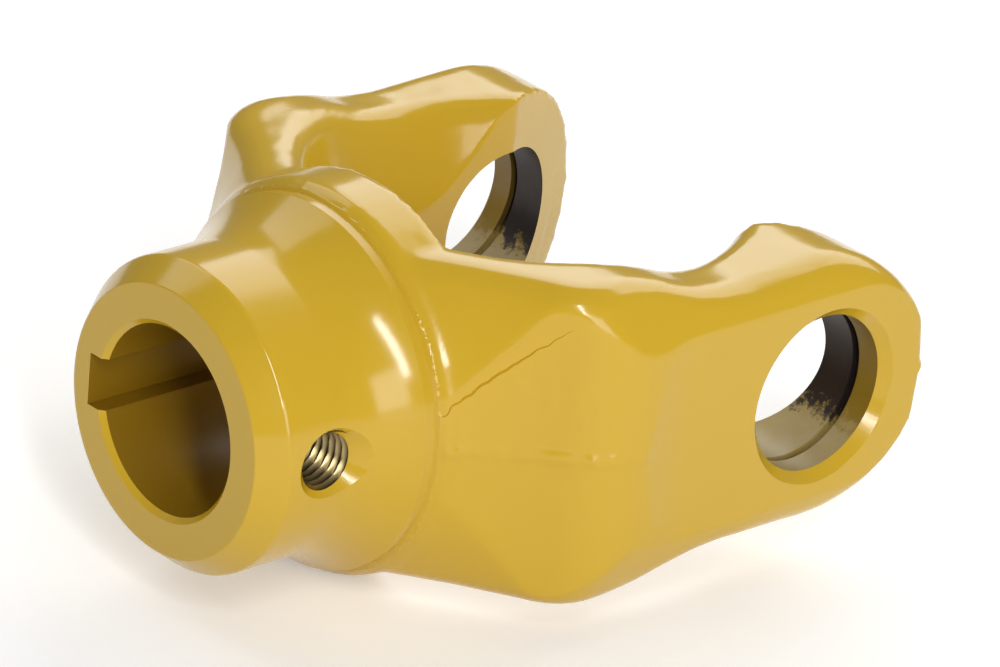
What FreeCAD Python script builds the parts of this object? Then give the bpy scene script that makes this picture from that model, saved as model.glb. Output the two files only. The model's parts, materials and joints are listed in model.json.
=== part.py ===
import FreeCAD, Part
import os
import Sketcher
from FreeCAD import Vector

# Forged implement yoke, one piece.  X is the hub axis and points from the hub to the ears,
# Y is the cross (bearing) axis, Z = 0 is the parting plane of the forging dies.
# The origin is the joint centre, where the hub axis meets the cross axis.

doc = FreeCAD.newDocument("yoke")
dims = doc.addObject("Spreadsheet::Sheet", "Dims")

SIZES = [
    # hub and its turned parts, lengths from the hub face
    ("reach", 108.5),            # hub face to cross axis
    ("hub_dia", 58.0),
    ("hub_chamfer_len", 5.0),
    ("hub_chamfer_drop", 3.8),
    ("bore_dia", 35.0),
    ("bore_len", 51.2),          # hub face to the floor of the fork
    ("bore_chamfer", 1.0),
    ("key_width", 10.0),
    ("key_depth", 3.3),          # key seat floor beyond the bore
    ("flare_start", 17.0),
    ("flare_rad", 24.0),
    ("collar_pos", 31.0),
    ("collar_rise", 5.5),        # collar over the hub, on the radius
    ("collar_land", 2.0),
    ("boss_step", 2.0),          # boss over the collar, on the radius
    ("step_deg", 48.0),
    ("boss_end", 45.5),
    ("screw_pos", 14.5),
    ("screw_csink_dia", 14.6),   # on the hub
    ("screw_start", 1.5),        # outside the hub, so that the flare beside the hole is cut too
    # bearing seats in the ears
    ("pin_dia", 30.2),
    ("pin_chamfer", 2.0),
    ("cross_len", 92.0),         # over the two bearing caps
    ("ring_width", 1.7),
    ("ring_dia", 32.6),
    ("ring_lip", 6.8),           # metal between ring groove and outer ear face
    # ears
    ("ear_thick", 22.5),         # between the machined faces of one ear
    ("ear_wall", 10.9),          # round the bearing seat
    ("flat_half", 19.8),         # half height of the outer machined face
    ("flat_back", 32.0),         # where that face begins to run out
    ("face_stock", 1.5),         # metal machined off the forging there
    ("runout_rad", 50.0),
    ("bevel_deg", 24.5),         # inner relief from the cross axis to the tip
    # forged arms, lengths back from the cross axis
    ("waist_back", 18.0),
    ("waist_dip", 0.6),          # waist below the top of the ear
    ("root_back", 50.0),
    ("root_drop", 3.5),          # root below the collar, on the radius
    ("foot_deg", 29.0),          # slope of the parting outline at the collar
    ("ridge_deg", 50.0),         # its steepest slope
    ("shoulder_round", 19.4),
    ("draft_deg", 3.0),
    ("cone_foot_deg", 39.0),     # the same slopes for the turned shoulder
    ("cone_deg", 58.0),
    ("cone_round", 14.0),
    ("edge_round", 6.0),
    ("inner_round", 5.0),
    # bell-shaped cavity between the arms, turned about an upright axis
    ("bell_inset", 0.2),         # bell inside the inner ear faces
    ("bell_start", 7.0),
    ("bell_deg", 22.0),
    ("throat_inset", 8.0),       # die throat inside the inner ear faces
    ("spare", 8.0),              # how far cutting profiles reach past the metal
]
for row, (alias, value) in enumerate(SIZES, start=1):
    dims.set("A%d" % row, alias)
    dims.set("B%d" % row, str(value))
    dims.setAlias("B%d" % row, alias)
doc.recompute()


def num(expr):
    """Present value of an expression on the sheet."""
    got = dims.evalExpression(expr)
    return float(getattr(got, "Value", got))


def new_body(label):
    body = doc.addObject("PartDesign::Body", label)
    body.Label = label
    return body


def new_sketch(body, label, role, lift=None, shift=None):
    """Sketch on one origin plane of its body, lifted along the normal or shifted along X."""
    sk = body.newObject("Sketcher::SketchObject", label)
    datum = [f for f in body.Origin.OriginFeatures if f.Role == role][0]
    sk.AttachmentSupport = (datum, [""])
    sk.MapMode = "FlatFace"
    if lift:
        sk.setExpression("AttachmentOffset.Base.z", lift)
    if shift:
        sk.setExpression("AttachmentOffset.Base.x", shift)
    return sk


def outline(sk, nodes):
    """Closed outline through nodes (x, y).  A node (x, y, r, way) starts an arc of radius r,
    way +1 turning left and -1 turning right."""
    first = sk.GeometryCount
    pts = [Vector(num(n[0]), num(n[1]), 0) for n in nodes]
    count = len(nodes)
    for i, node in enumerate(nodes):
        a, b = pts[i], pts[(i + 1) % count]
        if len(node) == 2:
            sk.addGeometry(Part.LineSegment(a, b), False)
        else:
            r, way = num(node[2]), node[3]
            half = (b - a).Length / 2.0
            side = Vector(-(b - a).y, (b - a).x, 0).normalize() * way
            mid = (a + b) * 0.5 - side * (r - (r * r - half * half) ** 0.5)
            sk.addGeometry(Part.Arc(a, mid, b), False)
    for i, node in enumerate(nodes):
        geo, nxt = first + i, first + (i + 1) % count
        way = 1 if len(node) == 2 else node[3]
        start, end = (1, 2) if way > 0 else (2, 1)
        nxt_way = 1 if len(nodes[(i + 1) % count]) == 2 else nodes[(i + 1) % count][3]
        sk.addConstraint(Sketcher.Constraint("Coincident", geo, end, nxt, 1 if nxt_way > 0 else 2))
        for kind, expr in (("DistanceX", node[0]), ("DistanceY", node[1])):
            here = num(expr)
            if abs(here) < 1e-9:
                axis = -2 if kind == "DistanceX" else -1
                sk.addConstraint(Sketcher.Constraint("PointOnObject", geo, start, axis))
            else:
                k = sk.addConstraint(Sketcher.Constraint(kind, -1, 1, geo, start, here))
                sk.setExpression("Constraints[%d]" % k, expr)
        if len(node) == 4:
            k = sk.addConstraint(Sketcher.Constraint("Radius", geo, num(node[2])))
            sk.setExpression("Constraints[%d]" % k, node[2])


def circle(sk, x, y, r):
    sk.addGeometry(Part.Circle(Vector(num(x), num(y), 0), Vector(0, 0, 1), num(r)), False)
    geo = sk.GeometryCount - 1
    for kind, expr in (("DistanceX", x), ("DistanceY", y)):
        if abs(num(expr)) < 1e-9:
            axis = -2 if kind == "DistanceX" else -1
            sk.addConstraint(Sketcher.Constraint("PointOnObject", geo, 3, axis))
        else:
            k = sk.addConstraint(Sketcher.Constraint(kind, -1, 1, geo, 3, num(expr)))
            sk.setExpression("Constraints[%d]" % k, expr)
    k = sk.addConstraint(Sketcher.Constraint("Radius", geo, num(r)))
    sk.setExpression("Constraints[%d]" % k, r)


def feature(body, kind, label, profile, **props):
    f = body.newObject("PartDesign::" + kind, label)
    f.Label = label
    f.Profile = profile
    for name, value in props.items():
        setattr(f, name, value)
    profile.Visibility = False
    return f


def dress(body, kind, label, base, edges, size, expr):
    """Fillet or chamfer on the edges of base that pass the test."""
    names = ["Edge%d" % (i + 1) for i, e in enumerate(base.Shape.Edges) if edges(e)]
    f = body.newObject("PartDesign::" + kind, label)
    f.Label = label
    f.Base = (base, names)
    f.setExpression(size, expr)
    return f


def done(obj):
    doc.recompute()
    bad = [s for s in obj.State if s in ("Invalid", "Error")]
    if bad or obj.Shape.isNull() or not obj.Shape.isValid():
        raise RuntimeError("%s failed: %s" % (obj.Label, bad))
    return obj


HUB = "-Dims.reach"
COLLAR = "(Dims.hub_dia / 2 + Dims.collar_rise)"
BOSS = "(%s + Dims.boss_step)" % COLLAR
CONE = "(Dims.collar_pos + Dims.collar_land - Dims.reach)"
FACE = "(Dims.cross_len / 2 + Dims.ring_width + Dims.ring_lip)"
ARM = "(%s + Dims.face_stock)" % FACE
GAP = "(%s - Dims.ear_thick)" % FACE
BELL = "(%s - Dims.bell_inset)" % GAP
BELL_AXIS = "(Dims.bore_len + %s - Dims.reach)" % BELL
SWEEP = "sqrt(%s^2 + Dims.flat_half^2)" % FACE
EAR = "(Dims.pin_dia / 2 + Dims.ear_wall)"
WAIST = "(%s - Dims.waist_dip)" % EAR
ROOT = "(%s - Dims.root_drop)" % COLLAR
OUT = "(%s + Dims.spare)" % EAR


def swell(top, convex, deg, foot_deg):
    """Nodes from a level line at height top down to the collar: a convex round of the given
    radius, then a hollow one.  They meet at the slope deg and the hollow ends at foot_deg."""
    cos, sin = "cos(%s * 1 deg)" % deg, "sin(%s * 1 deg)" % deg
    foot_cos, foot_sin = "cos(%s * 1 deg)" % foot_deg, "sin(%s * 1 deg)" % foot_deg
    knee = "(%s - %s * (1 - %s))" % (top, convex, cos)
    hollow = "((%s - %s) / (%s - %s))" % (knee, COLLAR, foot_cos, cos)
    knee_x = "(%s + %s * (%s - %s))" % (CONE, hollow, sin, foot_sin)
    return [
        ("%s + %s * %s" % (knee_x, convex, sin), top, convex, 1),
        (knee_x, knee, hollow, -1),
        (CONE, COLLAR),
    ]


# ---- die shape, one quarter ----
plan = new_body("PlanBlock")
sk = new_sketch(plan, "PlanOutline", "XY_Plane")
outline(sk, [
    (CONE, "-Dims.spare"),
    (EAR, "-Dims.spare"),
    (EAR, ARM + " - Dims.edge_round", "Dims.edge_round", 1),
    (EAR + " - Dims.edge_round", ARM),
] + swell(ARM, "Dims.shoulder_round", "Dims.ridge_deg", "Dims.foot_deg"))
pad = feature(plan, "Pad", "PlanPad", sk)
pad.setExpression("Length", ROOT + " + Dims.spare")
pad.setExpression("TaperAngle", "-Dims.draft_deg")
done(plan)

side = new_body("SideBlock")
sk = new_sketch(side, "SideOutline", "XZ_Plane")
RISE = "(%s - %s)" % (ROOT, WAIST)
SWING = "(((Dims.root_back - Dims.waist_back)^2 + %s^2) / (4 * %s))" % (RISE, RISE)
outline(sk, [
    (CONE + " - Dims.spare", "0"),
    (EAR, "0", EAR, 1),
    ("0", EAR),
    ("-Dims.waist_back", WAIST, SWING, -1),
    ("-(Dims.root_back + Dims.waist_back) / 2", "(%s + %s) / 2" % (ROOT, WAIST), SWING, 1),
    ("-Dims.root_back", ROOT),
    (CONE + " - Dims.spare", ROOT),
])
pad = feature(side, "Pad", "SidePad", sk, Reversed=True)
pad.setExpression("Length", ARM + " + Dims.spare")
done(side)

sk = new_sketch(side, "BellOutline", "XZ_Plane", shift=BELL_AXIS)
outline(sk, [
    ("0", "-Dims.spare"),
    (BELL, "-Dims.spare"),
    (BELL, "Dims.bell_start"),
    ("%s + (%s + Dims.spare - Dims.bell_start) * tan(Dims.bell_deg * 1 deg)" % (BELL, ROOT),
     ROOT + " + Dims.spare"),
    ("0", ROOT + " + Dims.spare"),
])
feature(side, "Groove", "BellCavity", sk, ReferenceAxis=(sk, ["V_Axis"]), Angle=360)
done(side)

sk = new_sketch(side, "ThroatOutline", "XY_Plane")
outline(sk, [
    (BELL_AXIS, "-Dims.spare"),
    (OUT + " + Dims.spare", "-Dims.spare"),
    (OUT + " + Dims.spare", GAP + " - Dims.throat_inset"),
    (BELL_AXIS, GAP + " - Dims.throat_inset"),
])
throat = feature(side, "Pocket", "Throat", sk, Type="ThroughAll", SideType="Symmetric")
done(side)


def rim(shape, wall_side):
    """Test for edges between the top of the arms and the walls that the sign test picks."""
    def normal(face, at):
        u, v = face.Surface.parameter(at)
        return face.normalAt(u, v)

    def test(e):
        at = e.valueAt((e.FirstParameter + e.LastParameter) / 2)
        pair = [normal(f, at) for f in shape.ancestorsOfType(e, Part.Face)]
        if len(pair) != 2 or at.z < 0.1 or at.y < 0.1:
            return False
        tops = [n for n in pair if abs(n.y) < 1e-6 and n.z > -1e-3 and n.x > -0.9]
        walls = [n for n in pair if wall_side(n, at) and abs(n.z) < 0.95]
        return len(tops) >= 1 and len(walls) == 1
    return test


axis_x = num(BELL_AXIS)
inner = dress(side, "Fillet", "InnerRounds", throat,
              rim(throat.Shape, lambda n, at: n.x * (at.x - axis_x) + n.y * at.y < -0.05
                  and -0.999 < n.y < -1e-6),
              "Radius", "Dims.inner_round")
done(inner)

sweep = new_body("SweepBlock")
sk = new_sketch(sweep, "SweepOutline", "XZ_Plane")
outline(sk, [
    (CONE, "0"),
    (OUT, "0"),
    (OUT, SWEEP),
] + swell(SWEEP, "Dims.cone_round", "Dims.cone_deg", "Dims.cone_foot_deg"))
feature(sweep, "Revolution", "SweepTurn", sk, ReferenceAxis=(sk, ["H_Axis"]), Angle=360)
done(sweep)

core = doc.addObject("Part::MultiCommon", "TurnedSide")
core.Shapes = [side, sweep]
done(core)
rounded = new_body("RoundedSide")
rounded.BaseFeature = core
doc.recompute()
base = rounded.Group[0]
outer = dress(rounded, "Fillet", "OuterRounds", base,
              rim(base.Shape, lambda n, at: n.y * at.y + n.z * at.z > 0 and n.y > 0.05),
              "Radius", "Dims.edge_round")
done(outer)
quarter = doc.addObject("Part::MultiCommon", "DieQuarter")
quarter.Shapes = [rounded, plan]
done(quarter)


def mirrored(source, label, normal):
    m = doc.addObject("Part::Mirroring", label)
    m.Source, m.Base, m.Normal = source, Vector(0, 0, 0), normal
    half = doc.addObject("Part::MultiFuse", label + "Pair")
    half.Shapes = [source, m]
    half.Refine = True
    return done(half)


upper = mirrored(quarter, "OtherArm", Vector(0, 1, 0))
fork = mirrored(upper, "LowerDie", Vector(0, 0, 1))

hub = new_body("HubTurning")
sk = new_sketch(hub, "HubOutline", "XZ_Plane")
outline(sk, [
    (HUB, "0"),
    ("Dims.boss_end - Dims.reach", "0"),
    ("Dims.boss_end - Dims.reach", BOSS),
    (CONE + " + Dims.boss_step / tan(Dims.step_deg * 1 deg)", BOSS),
    (CONE, COLLAR),
    ("Dims.collar_pos - Dims.reach", COLLAR, "Dims.flare_rad", -1),
    ("Dims.flare_start - Dims.reach", "Dims.hub_dia / 2"),
    ("Dims.hub_chamfer_len - Dims.reach", "Dims.hub_dia / 2"),
    (HUB, "Dims.hub_dia / 2 - Dims.hub_chamfer_drop"),
])
feature(hub, "Revolution", "HubTurn", sk, ReferenceAxis=(sk, ["H_Axis"]), Angle=360)
done(hub)

forging = doc.addObject("Part::MultiFuse", "Forging")
forging.Shapes = [fork, hub]
forging.Refine = True
done(forging)

# ---- machining on the forging ----
yoke = new_body("yoke")
yoke.BaseFeature = forging
doc.recompute()


def cut(kind, label, sk, **props):
    return done(feature(yoke, kind, label, sk, **props))


sk = new_sketch(yoke, "FaceOutline", "XY_Plane")
RUN = "-Dims.flat_back - sqrt(2 * Dims.runout_rad * Dims.spare - Dims.spare^2)"
for sign, way in (("", 1), ("-", -1)):
    outline(sk, [
        ("-Dims.flat_back", sign + FACE),
        (OUT, sign + FACE),
        (OUT, sign + "(%s + Dims.spare)" % FACE),
        (RUN, sign + "(%s + Dims.spare)" % FACE, "Dims.runout_rad", way),
    ])
cut("Pocket", "EarFaces", sk, Type="ThroughAll", SideType="Symmetric")

sk = new_sketch(yoke, "GapOutline", "XY_Plane")
TIP = "(%s + %s * tan(Dims.bevel_deg * 1 deg))" % (GAP, OUT)
outline(sk, [
    (BELL_AXIS, "-" + GAP),
    ("0", "-" + GAP),
    (OUT, "-" + TIP),
    (OUT, TIP),
    ("0", GAP),
    (BELL_AXIS, GAP),
])
cut("Pocket", "EarGap", sk, Type="ThroughAll", SideType="Symmetric")

sk = new_sketch(yoke, "SeatOutline", "YZ_Plane")
for sign in ("", "-"):
    outline(sk, [
        ("0", "0"),
        (sign + "(%s + Dims.spare)" % FACE, "0"),
        (sign + "(%s + Dims.spare)" % FACE, "Dims.pin_dia / 2 + Dims.pin_chamfer"),
        (sign + FACE, "Dims.pin_dia / 2 + Dims.pin_chamfer"),
        (sign + "(%s - Dims.pin_chamfer)" % FACE, "Dims.pin_dia / 2"),
        (sign + "(Dims.cross_len / 2 + Dims.ring_width)", "Dims.pin_dia / 2"),
        (sign + "(Dims.cross_len / 2 + Dims.ring_width)", "Dims.ring_dia / 2"),
        (sign + "Dims.cross_len / 2", "Dims.ring_dia / 2"),
        (sign + "Dims.cross_len / 2", "Dims.pin_dia / 2"),
        ("0", "Dims.pin_dia / 2"),
    ])
cut("Groove", "BearingSeats", sk, ReferenceAxis=(sk, ["H_Axis"]), Angle=360)

sk = new_sketch(yoke, "BoreOutline", "XZ_Plane")
outline(sk, [
    (HUB + " - Dims.bore_chamfer", "0"),
    (HUB + " + Dims.bore_len + Dims.spare", "0"),
    (HUB + " + Dims.bore_len + Dims.spare", "Dims.bore_dia / 2"),
    (HUB + " + Dims.bore_chamfer", "Dims.bore_dia / 2"),
    (HUB + " - Dims.bore_chamfer", "Dims.bore_dia / 2 + 2 * Dims.bore_chamfer"),
])
cut("Groove", "ShaftBore", sk, ReferenceAxis=(sk, ["H_Axis"]), Angle=360)

sk = new_sketch(yoke, "KeyOutline", "YZ_Plane", lift=HUB)
outline(sk, [
    ("0", "-Dims.key_width / 2"),
    ("Dims.bore_dia / 2 + Dims.key_depth", "-Dims.key_width / 2"),
    ("Dims.bore_dia / 2 + Dims.key_depth", "Dims.key_width / 2"),
    ("0", "Dims.key_width / 2"),
])
cut("Pocket", "KeySeat", sk, Reversed=True, Type="ThroughAll")

sk = new_sketch(yoke, "ScrewPoint", "XZ_Plane", lift="Dims.hub_dia / 2 + Dims.screw_start")
circle(sk, HUB + " + Dims.screw_pos", "0", "Dims.screw_csink_dia / 4")
screw = yoke.newObject("PartDesign::Hole", "SetScrewHole")
screw.Label = "SetScrewHole"
screw.Profile = sk
screw.Threaded = True
screw.ThreadType = "ISOMetricProfile"
screw.ThreadSize = "M12x1.75"
screw.DepthType = "Dimension"
screw.setExpression("Depth", "Dims.screw_start + (Dims.hub_dia - Dims.bore_dia) / 2 + Dims.spare")
screw.DrillPoint = "Flat"
screw.HoleCutType = "Countersink"
screw.HoleCutCustomValues = True
screw.setExpression("HoleCutDiameter", "Dims.screw_csink_dia + 2 * Dims.screw_start")
screw.HoleCutCountersinkAngle = 90
sk.Visibility = False
done(screw)

doc.recompute()
for obj in doc.Objects:
    if obj.State and set(obj.State) & {"Invalid", "Error"}:
        raise RuntimeError("%s did not build" % obj.Label)
shape = yoke.Shape
if shape.isNull() or not shape.isValid() or len(shape.Solids) != 1:
    raise RuntimeError("yoke is not one valid solid")
os.makedirs("parts", exist_ok=True)
shape.exportStep("parts/yoke.step")
print("yoke", round(shape.Volume), "mm3,", len(shape.Faces), "faces")
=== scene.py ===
import json
import math

import bmesh
import bpy
from mathutils import Matrix, Vector, noise
from mathutils.bvhtree import BVHTree


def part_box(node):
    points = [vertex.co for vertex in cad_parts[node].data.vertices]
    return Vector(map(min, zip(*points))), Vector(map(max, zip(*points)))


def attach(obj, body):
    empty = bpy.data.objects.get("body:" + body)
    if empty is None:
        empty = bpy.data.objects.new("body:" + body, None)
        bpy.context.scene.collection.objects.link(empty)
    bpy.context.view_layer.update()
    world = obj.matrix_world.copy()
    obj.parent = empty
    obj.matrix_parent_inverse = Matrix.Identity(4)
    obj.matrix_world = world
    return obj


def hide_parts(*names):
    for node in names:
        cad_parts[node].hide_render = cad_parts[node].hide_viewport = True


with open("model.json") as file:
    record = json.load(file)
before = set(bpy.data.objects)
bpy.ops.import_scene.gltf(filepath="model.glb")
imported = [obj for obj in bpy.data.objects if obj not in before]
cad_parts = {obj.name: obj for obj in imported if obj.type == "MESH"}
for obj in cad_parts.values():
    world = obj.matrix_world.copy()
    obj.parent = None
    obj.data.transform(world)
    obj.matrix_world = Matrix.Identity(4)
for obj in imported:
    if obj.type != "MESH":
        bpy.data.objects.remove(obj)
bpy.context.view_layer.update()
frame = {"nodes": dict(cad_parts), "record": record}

# ---- Forged blank ----
# A drop forging in medium-carbon steel.  The dies leave a slightly uneven skin, blended creases
# and a trimmed ridge along the parting plane.  It starts from the CAD solid with its machined
# holes filled by plugs, so that each of them can be cut again with a clean edge.
MM = 0.001
MOUTH = 2.0 * MM
MOUNTS = {m["name"]: m for m in frame["record"]["mounts"]}
SEAT_R = MOUNTS["cross_bores"]["dims"]["r_mm"] * MM
FACE_Y = MOUNTS["cross_bores"]["dims"]["length_mm"] / 2 * MM + MOUTH
BORE_R = MOUNTS["shaft_bore"]["dims"]["r_mm"] * MM
SCREW_R = MOUNTS["set_screw"]["dims"]["r_mm"] * MM
SCREW_X = MOUNTS["set_screw"]["pos_m"][0]
HUB_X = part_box("yoke")[0][0]
HUB_R = 29.0 * MM
GAP_Y = 32.0 * MM
BORE_PLUG_R = 21.9 * MM
BORE_PLUG_END = -60 * MM
SEAT_PLUG_R = 18.2 * MM
SCREW_PLUG_R = 8.0 * MM
SCREW_PLUG_END = -15 * MM
VOXEL = 0.85 * MM
AXES = {"X": Matrix.Rotation(math.pi / 2, 4, "Y"), "Y": Matrix.Rotation(math.pi / 2, 4, "X")}


def rod(bm, axis, radius, start, end, offset=(0, 0, 0), segments=96):
    """Closed cylinder along one axis from start to end."""
    made = bmesh.ops.create_cone(bm, cap_ends=True, segments=segments, radius1=radius,
                                 radius2=radius, depth=abs(end - start))["verts"]
    bmesh.ops.transform(bm, matrix=AXES[axis], verts=made)
    place = Vector(offset)
    place["XY".index(axis)] += (start + end) / 2
    bmesh.ops.translate(bm, vec=place, verts=made)


def piece(bm, name, materials=()):
    """Object of its own from a bmesh, with its normals turned outwards."""
    bmesh.ops.recalc_face_normals(bm, faces=bm.faces)
    mesh = bpy.data.meshes.new(name)
    bm.to_mesh(mesh)
    bm.free()
    for material in materials:
        mesh.materials.append(material)
    obj = bpy.data.objects.new(name, mesh)
    bpy.context.collection.objects.link(obj)
    return obj


def applied(obj):
    """Replace an object's mesh by what its modifiers make of it."""
    graph = bpy.context.evaluated_depsgraph_get()
    mesh = bpy.data.meshes.new_from_object(obj.evaluated_get(graph))
    obj.modifiers.clear()
    obj.data = mesh
    return obj


bm = bmesh.new()
bm.from_mesh(frame["nodes"]["yoke"].data)
bmesh.ops.remove_doubles(bm, verts=bm.verts, dist=2e-6)
rod(bm, "X", BORE_PLUG_R, HUB_X + 0.3 * MM, BORE_PLUG_END)
for sign in (-1, 1):
    rod(bm, "Y", SEAT_PLUG_R, sign * (GAP_Y + 0.2 * MM), sign * (FACE_Y - 0.2 * MM))
rod(bm, "Y", SCREW_PLUG_R, 0.8 * MM - HUB_R, SCREW_PLUG_END, offset=(SCREW_X, 0, 0))
yoke = piece(bm, "forged_yoke")
remesh = yoke.modifiers.new("blank", "REMESH")
remesh.mode = "VOXEL"
remesh.voxel_size = VOXEL
smooth = yoke.modifiers.new("worn_dies", "SMOOTH")
smooth.factor = 0.5
smooth.iterations = 4
applied(yoke)

# The skin, in mm: long swells of the worn dies, finer scale marks, two patches of pits, and the ragged
# trimmed flash that stands out along the parting plane.
COLLAR_X = HUB_X + 31.0 * MM
CONE_X = COLLAR_X + 2.0 * MM
PITS = [Vector(p) for p in ((-62, -45, 12), (-54, -50, 8), (-27, 31, 11), (-27, 31, 18))]
SWELL_HEIGHT, SWELL_SPACING = 0.10, 11
SCALE_HEIGHT, SCALE_SPACING = 0.035, 3.5
PIT_DEPTH, PIT_SPACING, PATCH_SIZE = 0.22, 1.8, 6
FLASH_HEIGHT, FLASH_SPACING, FLASH_WIDTH = 0.5, 2.4, 0.9


def outwards(obj):
    """Vertices with their normals, all read before any vertex is moved."""
    return list(zip(obj.data.vertices, [v.normal.copy() for v in obj.data.vertices]))


def bell(distance, width):
    """Smooth hump, 1 at its middle."""
    return math.exp(-(distance / width) ** 2)


for v, normal in outwards(yoke):
    at = v.co / MM
    lift = SWELL_HEIGHT * noise.noise(at / SWELL_SPACING)
    lift += SCALE_HEIGHT * noise.noise(at / SCALE_SPACING)
    pitted = max(bell((at - pit).length, PATCH_SIZE) for pit in PITS)
    lift += PIT_DEPTH * pitted * noise.noise(at / PIT_SPACING)
    if v.co.x > CONE_X + 1 * MM:
        ragged = 0.6 + 0.9 * noise.noise(at / FLASH_SPACING)
        lift += FLASH_HEIGHT * bell(at.z, FLASH_WIDTH) * ragged
    v.co += normal * lift * MM


def linear(code):
    """sRGB hex to the linear colour the shader wants."""
    parts = [int(code[i:i + 2], 16) / 255 for i in (1, 3, 5)]
    return [c / 12.92 if c <= 0.04045 else ((c + 0.055) / 1.055) ** 2.4 for c in parts] + [1.0]


def node(tree, kind, settings=None, **links):
    """Add one node.  Settings are its properties; links are socket values or other sockets."""
    made = tree.nodes.new("ShaderNode" + kind)
    for name, value in (settings or {}).items():
        setattr(made, name, value)
    for name, value in links.items():
        socket = made.inputs[int(name[1:]) if name[0] == "i" and name[1:].isdigit()
                             else name.replace("_", " ")]
        if isinstance(value, bpy.types.NodeSocket):
            tree.links.new(value, socket)
        else:
            socket.default_value = value
    return made


def material(name):
    """Empty node material, with its tree and its output."""
    made = bpy.data.materials.new(name)
    made.use_nodes = True
    made.node_tree.nodes.clear()
    return made, made.node_tree


# Alkyd machinery enamel, sprayed over the scale: glossy mustard yellow with a fine orange peel.
ENAMEL = linear("#CFA828")
enamel, tree = material("yellow_enamel")
place = node(tree, "TexCoord").outputs["Object"]
peel = node(tree, "TexNoise", Vector=place, Scale=1 / (1.6 * MM), Detail=2.0)
peel_bump = node(tree, "Bump", Strength=0.06, Distance=0.2 * MM, Height=peel.outputs["Fac"])
shade = node(tree, "BsdfPrincipled", Base_Color=ENAMEL, Roughness=0.16, IOR=1.5,
             Normal=peel_bump.outputs["Normal"])
node(tree, "OutputMaterial", Surface=shade.outputs["BSDF"])
yoke.data.materials.clear()
yoke.data.materials.append(enamel)

# ---- Hub, turned ----
# The hub, its front chamfer, the flare and the collar are turned on a lathe, and painted with
# the rest.  The forging stands proud of the lathe cut before it is made, as real stock does.
CHAMFER_LEN = 5.0 * MM
CHAMFER_DROP = 3.8 * MM
SOFT = 0.5 * MM              # how far the paint rounds the turned edges
FACE_R = HUB_R - CHAMFER_DROP
COLLAR_R = 34.5 * MM
FLARE_X = HUB_X + 17.0 * MM
FLARE_R = 24.0 * MM
CLEAR_R = 60 * MM            # beyond all of the forging
STOCK = 0.35 * MM


def spun(bm, outline, axis, steps=192):
    """Closed outline in the plane of an axis and its radius, spun right round that axis."""
    verts = [bm.verts.new((x, r, 0) if axis == "X" else (r, x, 0)) for x, r in outline]
    edges = [bm.edges.new((a, b)) for (a, b), (p, q)
             in zip(zip(verts, verts[1:] + verts[:1]), zip(outline, outline[1:] + outline[:1]))
             if p[1] or q[1]]
    bmesh.ops.spin(bm, geom=verts + edges, cent=(0, 0, 0),
                   axis=(1, 0, 0) if axis == "X" else (0, 1, 0), angle=2 * math.pi,
                   steps=steps, use_merge=True)
    bmesh.ops.remove_doubles(bm, verts=bm.verts, dist=1e-7)


def arc(start, end, radius, way, count):
    """Points between two ends of an arc, turning left for way +1."""
    a, b = Vector(start), Vector(end)
    half = (b - a) / 2
    side = Vector((-half.y, half.x)).normalized() * way
    centre = a + half + side * math.sqrt(radius * radius - half.length_squared)
    first, last = a - centre, b - centre
    turn = first.angle_signed(last)
    turn = turn if turn * way < 0 else turn - math.copysign(2 * math.pi, turn)
    points = []
    for i in range(1, count):
        part = first.copy()
        part.rotate(Matrix.Rotation(-turn * i / count, 2))
        points.append(tuple(centre + part))
    return points


def cut_away(body, cutter):
    """Subtract a cutter, whose material lines the cut, and remove it."""
    cut = body.modifiers.new(cutter.name, "BOOLEAN")
    cut.operation = "DIFFERENCE"
    cut.solver = "EXACT"
    cut.material_mode = "TRANSFER"
    cut.object = cutter
    applied(body)
    bpy.data.objects.remove(cutter)


bm = bmesh.new()
flare = arc((FLARE_X, HUB_R), (COLLAR_X, COLLAR_R), FLARE_R, 1, 16)
chamfer_end = HUB_X + CHAMFER_LEN
spun(bm, [(HUB_X - 4 * MM, 0), (HUB_X, 0), (HUB_X, FACE_R - 0.4 * MM), (HUB_X + 0.15 * MM, FACE_R),
          (chamfer_end - SOFT, HUB_R - 0.35 * MM), (chamfer_end - 0.1 * SOFT, HUB_R - 0.1 * MM),
          (chamfer_end + SOFT, HUB_R), (FLARE_X, HUB_R)] + flare
     + [(COLLAR_X, COLLAR_R), (CONE_X, COLLAR_R), (CONE_X + 2.5 * MM, COLLAR_R + 4.3 * MM),
        (CONE_X + 2.5 * MM, CLEAR_R), (HUB_X - 4 * MM, CLEAR_R)], "X")
for v, normal in outwards(yoke):
    if v.co.x < CONE_X + 0.3 * MM:
        v.co += normal * STOCK
cut_away(yoke, piece(bm, "lathe_cut", [enamel]))

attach(yoke, "root")
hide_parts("yoke")

# ---- Lap on the shoulder ----
# Where the metal folded over itself in the dies: a fine crack that the enamel doesn't fill.
LAP = [Vector(p) * MM for p in ((-75, -35.2, 6.8), (-67.5, -41.2, 15.6), (-58, -48, 24.2))]
LAP_WIDTH = 0.35 * MM
LAP_DEPTH = 0.55 * MM
LAP_STEPS = 60


def on_surface(body):
    """Function that gives the nearest point and normal of a body's surface."""
    bm = bmesh.new()
    bm.from_mesh(body.data)
    tree = BVHTree.FromBMesh(bm)
    bm.free()
    return lambda point: tree.find_nearest(point)[:2]


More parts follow.
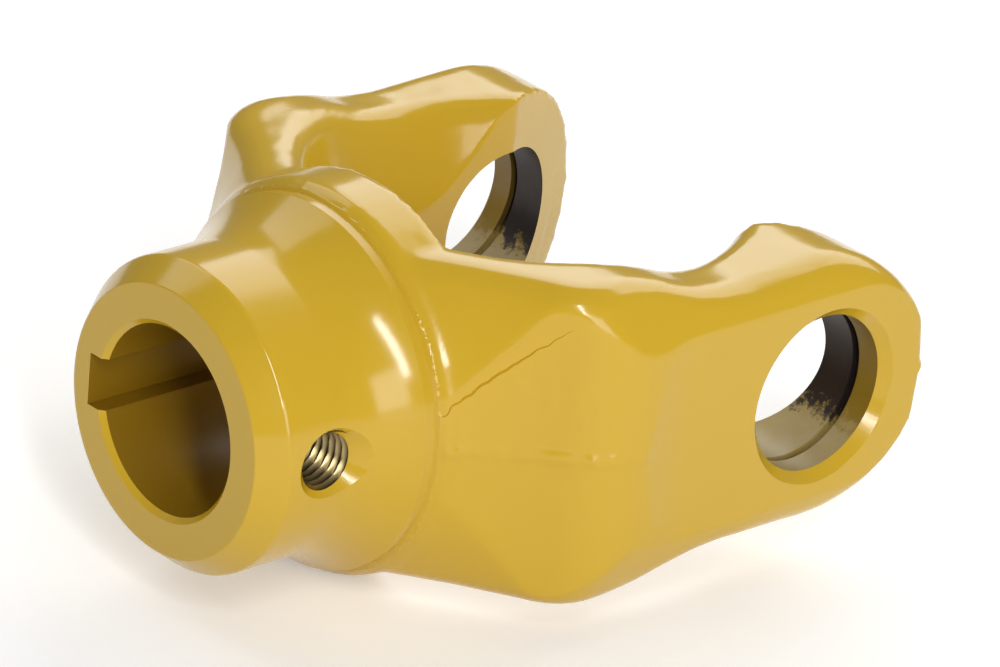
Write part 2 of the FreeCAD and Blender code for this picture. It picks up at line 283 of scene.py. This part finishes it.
surface = on_surface(yoke)
bm = bmesh.new()
rings = []
for i in range(LAP_STEPS + 1):
    t = i / LAP_STEPS
    mid = LAP[0] * (1 - t) ** 2 + LAP[1] * 2 * t * (1 - t) + LAP[2] * t ** 2
    way = (LAP[1] - LAP[0]) * (1 - t) + (LAP[2] - LAP[1]) * t
    place, normal = surface(mid)
    across = way.cross(normal).normalized()
    size = math.sin(math.pi * min(max(t, 0.04), 0.96)) ** 0.5 * (1 - 0.6 * t)
    place = place + across * 0.5 * MM * noise.noise(Vector((t * 14, 0, 0)))
    rings.append([bm.verts.new(place + across * LAP_WIDTH * size),
                  bm.verts.new(place + normal * 0.8 * MM),
                  bm.verts.new(place - across * LAP_WIDTH * size),
                  bm.verts.new(place - normal * LAP_DEPTH * size)])
for a, b in zip(rings, rings[1:]):
    for k in range(4):
        bm.faces.new((a[k], a[(k + 1) % 4], b[(k + 1) % 4], b[k]))
bm.faces.new(rings[0])
bm.faces.new(reversed(rings[-1]))
cut_away(yoke, piece(bm, "lap", [enamel]))

# ---- Ear faces, milled ----
# Outer faces end in the run-out of the cutter; the inner faces are relieved towards the tips.
FLAT_X = -32.0 * MM
RUNOUT_R = 50.0 * MM
TIP_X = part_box("yoke")[1][0] + 8 * MM
BELL_X = -25.5 * MM
RELIEF = math.tan(math.radians(24.5))
HALF_HEIGHT = 45 * MM        # past the forging, above and below
RISE = 8 * MM
RUN = math.sqrt(2 * RUNOUT_R * RISE - RISE * RISE)
BENDS = [math.asin(RUN / RUNOUT_R) * (1 - k / 14) for k in range(1, 14)]


def slab(bm, outline):
    """Outline in plan, raised right through the forging."""
    face = bm.faces.new([bm.verts.new((x, y, -HALF_HEIGHT)) for x, y in outline])
    up = bmesh.ops.extrude_face_region(bm, geom=[face])["geom"]
    bmesh.ops.translate(bm, vec=(0, 0, 2 * HALF_HEIGHT),
                        verts=[g for g in up if isinstance(g, bmesh.types.BMVert)])


for sign in (-1, 1):
    bm = bmesh.new()
    slab(bm, [(FLAT_X, sign * FACE_Y), (TIP_X, sign * FACE_Y), (TIP_X, sign * (FACE_Y + RISE)),
              (FLAT_X - RUN, sign * (FACE_Y + RISE))]
         + [(FLAT_X - RUNOUT_R * math.sin(a), sign * (FACE_Y + RUNOUT_R * (1 - math.cos(a))))
            for a in BENDS])
    cut_away(yoke, piece(bm, "face_mill", [enamel]))
bm = bmesh.new()
relief = GAP_Y + TIP_X * RELIEF
slab(bm, [(BELL_X, -GAP_Y), (0, -GAP_Y), (TIP_X, -relief), (TIP_X, relief), (0, GAP_Y),
          (BELL_X, GAP_Y)])
cut_away(yoke, piece(bm, "gap_mill", [enamel]))

# ---- Bearing seats ----
# Bored steel, bare and browned inside where the caps are pressed in.  The spray reaches the lip
# outside the ring groove, the lower side of the wall is yellow mottled with pale tan, and the mouths
# are painted like the ears.
steel, tree = material("bored_steel")
place = node(tree, "TexCoord").outputs["Object"]
axes = node(tree, "SeparateXYZ", Vector=place)
RING_Y = 46.0 * MM
RING_W = 1.7 * MM
RING_R = 16.3 * MM
depth = node(tree, "Math", {"operation": "ABSOLUTE"}, i0=axes.outputs["Y"])
rough_edge = node(tree, "TexNoise", Vector=place, Scale=1 / (3 * MM), Detail=6.0, Roughness=0.7)
wander = node(tree, "MapRange", Value=rough_edge.outputs["Fac"], i1=0.3, i2=0.7, i3=-3 * MM,
              i4=3 * MM)
low = node(tree, "Math", {"operation": "ADD"}, i0=axes.outputs["Z"], i1=wander.outputs["Result"])
# Lower side of the wall, below a wandering edge: yellow mottled with pale tan, not metallic.
under = node(tree, "MapRange", Value=low.outputs["Value"], i1=-9 * MM, i2=-11 * MM, i3=0.0, i4=1.0)
lip = node(tree, "MapRange", Value=depth.outputs["Value"], i1=RING_Y + RING_W - 0.1 * MM,
           i2=RING_Y + RING_W + 0.1 * MM, i3=0.0, i4=1.0)
painted = node(tree, "Math", {"operation": "MAXIMUM"}, i0=under.outputs["Result"],
               i1=lip.outputs["Result"])
tone = node(tree, "TexNoise", Vector=place, Scale=1 / (6 * MM), Detail=4.0)
brown = node(tree, "Mix", {"data_type": "RGBA"}, i0=tone.outputs["Fac"],
             i6=linear("#241E1D"), i7=linear("#3E3430"))
pale_mottle = node(tree, "Mix", {"data_type": "RGBA"}, i0=rough_edge.outputs["Fac"],
            i6=linear("#9C7F22"), i7=linear("#A5966A"))
spray = node(tree, "Mix", {"data_type": "RGBA"}, i0=under.outputs["Result"],
             i6=linear("#8A6E1C"), i7=pale_mottle.outputs[2])
colour = node(tree, "Mix", {"data_type": "RGBA"}, i0=painted.outputs["Value"],
              i6=brown.outputs[2], i7=spray.outputs[2])
bare = node(tree, "MapRange", Value=painted.outputs["Value"], i1=0.0, i2=1.0, i3=0.5, i4=0.0)
shade = node(tree, "BsdfPrincipled", Base_Color=colour.outputs[2], Roughness=0.42,
             Metallic=bare.outputs["Result"])
node(tree, "OutputMaterial", Surface=shade.outputs["BSDF"])
bm = bmesh.new()
outside = FACE_Y + 6 * MM
half = [(outside, 0), (outside, SEAT_R), (RING_Y + RING_W, SEAT_R),
        (RING_Y + RING_W, RING_R), (RING_Y, RING_R), (RING_Y, SEAT_R)]
spun(bm, half + [(-y, r) for y, r in reversed(half)], "Y", steps=128)
cut_away(yoke, piece(bm, "boring_bar", [steel]))


def countersink(name, axis, end, inwards, radius, depth, centre=(0, 0, 0)):
    """Painted conical mouth at 45 degrees, this deep in a hole of this radius."""
    bm = bmesh.new()
    over, under = 3 * MM, 0.5 * MM
    spun(bm, [(end - inwards * over, 0), (end - inwards * over, radius + depth + over),
              (end + inwards * (depth + under), radius - under),
              (end + inwards * (depth + under), 0)], axis, steps=128)
    bmesh.ops.translate(bm, vec=centre, verts=bm.verts)
    cut_away(yoke, piece(bm, name, [enamel]))


for sign in (-1, 1):
    countersink("mouth", "Y", sign * FACE_Y, -sign, SEAT_R, MOUTH)

# ---- Shaft bore and key seat ----
# Reamed bore with a broached key seat, lined with the yellow enamel darkened as painted shade for the
# deep bore.
bore_painted_shade, tree = material("enamel_painted_shade")
# Darker copy of the yellow enamel: painted shade inside the bore and key seat.
shade = node(tree, "BsdfPrincipled", Base_Color=linear("#8A6812"), Roughness=0.3)
node(tree, "OutputMaterial", Surface=shade.outputs["BSDF"])
KEY_W = 10.0 * MM
KEY_Y = BORE_R + 3.3 * MM
BROACH_LEN = 60 * MM
START_X = HUB_X - 2 * MM
bm = bmesh.new()
rod(bm, "X", BORE_R, START_X, -40 * MM, segments=160)
cut_away(yoke, piece(bm, "reamer", [bore_painted_shade]))
countersink("bore_mouth", "X", HUB_X, 1, BORE_R, 1 * MM)
bm = bmesh.new()
bmesh.ops.create_cube(bm, size=1.0)
bmesh.ops.scale(bm, vec=(BROACH_LEN, KEY_Y, KEY_W), verts=bm.verts)
bmesh.ops.translate(bm, vec=(START_X + BROACH_LEN / 2, KEY_Y / 2, 0), verts=bm.verts)
cut_away(yoke, piece(bm, "broach", [bore_painted_shade]))

# ---- Set screw hole ----
# Drilled, countersunk and tapped M12 x 1.75 after painting, so the crests are bright cut steel; the
# roots are darkened as painted shade.
PITCH = 1.75 * MM
MAJOR_R = 6.0 * MM
CSINK_R = 7.3 * MM
cut_steel_shaded_roots, tree = material("cut_steel_shaded_roots")
place = node(tree, "TexCoord").outputs["Object"]
from_axis = node(tree, "VectorMath", {"operation": "MULTIPLY_ADD"}, i0=place, i1=(1, 0, 1),
                 i2=(-SCREW_X, 0, 0))
reach = node(tree, "VectorMath", {"operation": "LENGTH"}, i0=from_axis.outputs["Vector"])
crest_vs_shaded_root = node(tree, "MapRange", Value=reach.outputs["Value"], i1=MAJOR_R, i2=SCREW_R, i3=0.0,
             i4=1.0)
# Crests in bright cut steel, roots darkened by radius as painted shade.
colour = node(tree, "Mix", {"data_type": "RGBA"}, i0=crest_vs_shaded_root.outputs["Result"],
              i6=linear("#2C2212"), i7=linear("#B5A070"))
shade = node(tree, "BsdfPrincipled", Base_Color=colour.outputs[2], Roughness=0.3, Metallic=0.9)
node(tree, "OutputMaterial", Surface=shade.outputs["BSDF"])


def tap(bm, centre_x, start, end, sides=72, rows=12):
    """Closed solid with a vee thread round the Y axis, slightly flat at its crests and roots."""
    count = math.ceil((end - start) / PITCH * rows)
    grid = []
    for j in range(count + 1):
        y = start + j * PITCH / rows
        ring = []
        for i in range(sides):
            wave = abs((y / PITCH - i / sides) % 1 * 2 - 1)
            r = SCREW_R + (MAJOR_R - SCREW_R) * min(max(wave * 1.2 - 0.1, 0), 1)
            a = 2 * math.pi * i / sides
            ring.append(bm.verts.new((centre_x + r * math.cos(a), y, r * math.sin(a))))
        grid.append(ring)
    for a, b in zip(grid, grid[1:]):
        for i in range(sides):
            bm.faces.new((a[i], a[i - 1], b[i - 1], b[i]))
    bm.faces.new(grid[0])
    bm.faces.new(grid[-1])


bm = bmesh.new()
tap(bm, SCREW_X, -32 * MM, -13 * MM)
cut_away(yoke, piece(bm, "tap", [cut_steel_shaded_roots]))
countersink("screw_mouth", "Y", -HUB_R, 1, SCREW_R, CSINK_R - SCREW_R, (SCREW_X, 0, 0))

yoke.data.set_sharp_from_angle(angle=math.radians(32))
weights = yoke.modifiers.new("even_light", "WEIGHTED_NORMAL")
weights.keep_sharp = True

# ---- Floor and studio ----
# Pale seamless floor, a large soft light behind and above, another at the far side, and a strip
# and a low soft light beside the camera.
floor_mat, tree = material("pale_floor")
shade = node(tree, "BsdfPrincipled", Base_Color=(0.9, 0.9, 0.9, 1), Roughness=0.9)
ray = node(tree, "LightPath")
seen = node(tree, "Math", {"operation": "MAXIMUM"}, i0=ray.outputs["Is Camera Ray"],
            i1=ray.outputs["Is Glossy Ray"])
seen = node(tree, "Math", {"operation": "MAXIMUM"}, i0=seen.outputs["Value"],
            i1=ray.outputs["Is Transmission Ray"])
glow = node(tree, "Math", {"operation": "MULTIPLY"}, i0=seen.outputs["Value"], i1=0.3)
white = node(tree, "Emission", Strength=glow.outputs["Value"])
both = node(tree, "AddShader", i0=shade.outputs["BSDF"], i1=white.outputs["Emission"])
node(tree, "OutputMaterial", Surface=both.outputs["Shader"])
bm = bmesh.new()
bmesh.ops.create_circle(bm, cap_ends=True, radius=3.0, segments=64)
bmesh.ops.translate(bm, vec=(0, 0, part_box("yoke")[0][2]), verts=bm.verts)
floor = piece(bm, "floor", [floor_mat])

world = bpy.data.worlds.new("studio")
world.use_nodes = True
world.node_tree.nodes["Background"].inputs["Color"].default_value = (1, 1, 1, 1)
world.node_tree.nodes["Background"].inputs["Strength"].default_value = 0.2
bpy.context.scene.world = world


def softbox(name, azimuth, elevation, distance, width, height, watts):
    """Rectangular area lamp that faces the middle of the yoke."""
    lamp = bpy.data.lights.new(name, "AREA")
    lamp.shape = "RECTANGLE"
    lamp.size, lamp.size_y = width, height
    lamp.energy = watts
    obj = bpy.data.objects.new(name, lamp)
    bpy.context.collection.objects.link(obj)
    a, e = math.radians(azimuth), math.radians(elevation)
    way = Vector((math.cos(a) * math.cos(e), math.sin(a) * math.cos(e), math.sin(e)))
    obj.location = Vector((-0.045, 0, 0)) + way * distance
    obj.rotation_euler = way.to_track_quat("Z", "Y").to_euler()


softbox("backdrop", 20, 38, 1.4, 1.45, 0.85, 11)
softbox("side", 95, 46, 1.5, 1.1, 0.8, 5)
softbox("strip", -122, 33, 1.4, 0.12, 0.9, 9)
softbox("front", -105, 12, 1.8, 0.9, 0.7, 8)

camera = bpy.data.cameras.new("camera")
camera.lens = 257.74
camera.clip_start, camera.clip_end = 0.1, 20
view = bpy.data.objects.new("camera", camera)
bpy.context.collection.objects.link(view)
view.matrix_world = Matrix((
    (0.74765, 0.21999, -0.62659, -0.844882),
    (-0.65891, 0.36330, -0.65867, -0.857124),
    (0.08274, 0.90532, 0.41658, 0.539944),
    (0, 0, 0, 1)))
bpy.context.scene.camera = view
bpy.context.scene.view_settings.view_transform = "Standard"
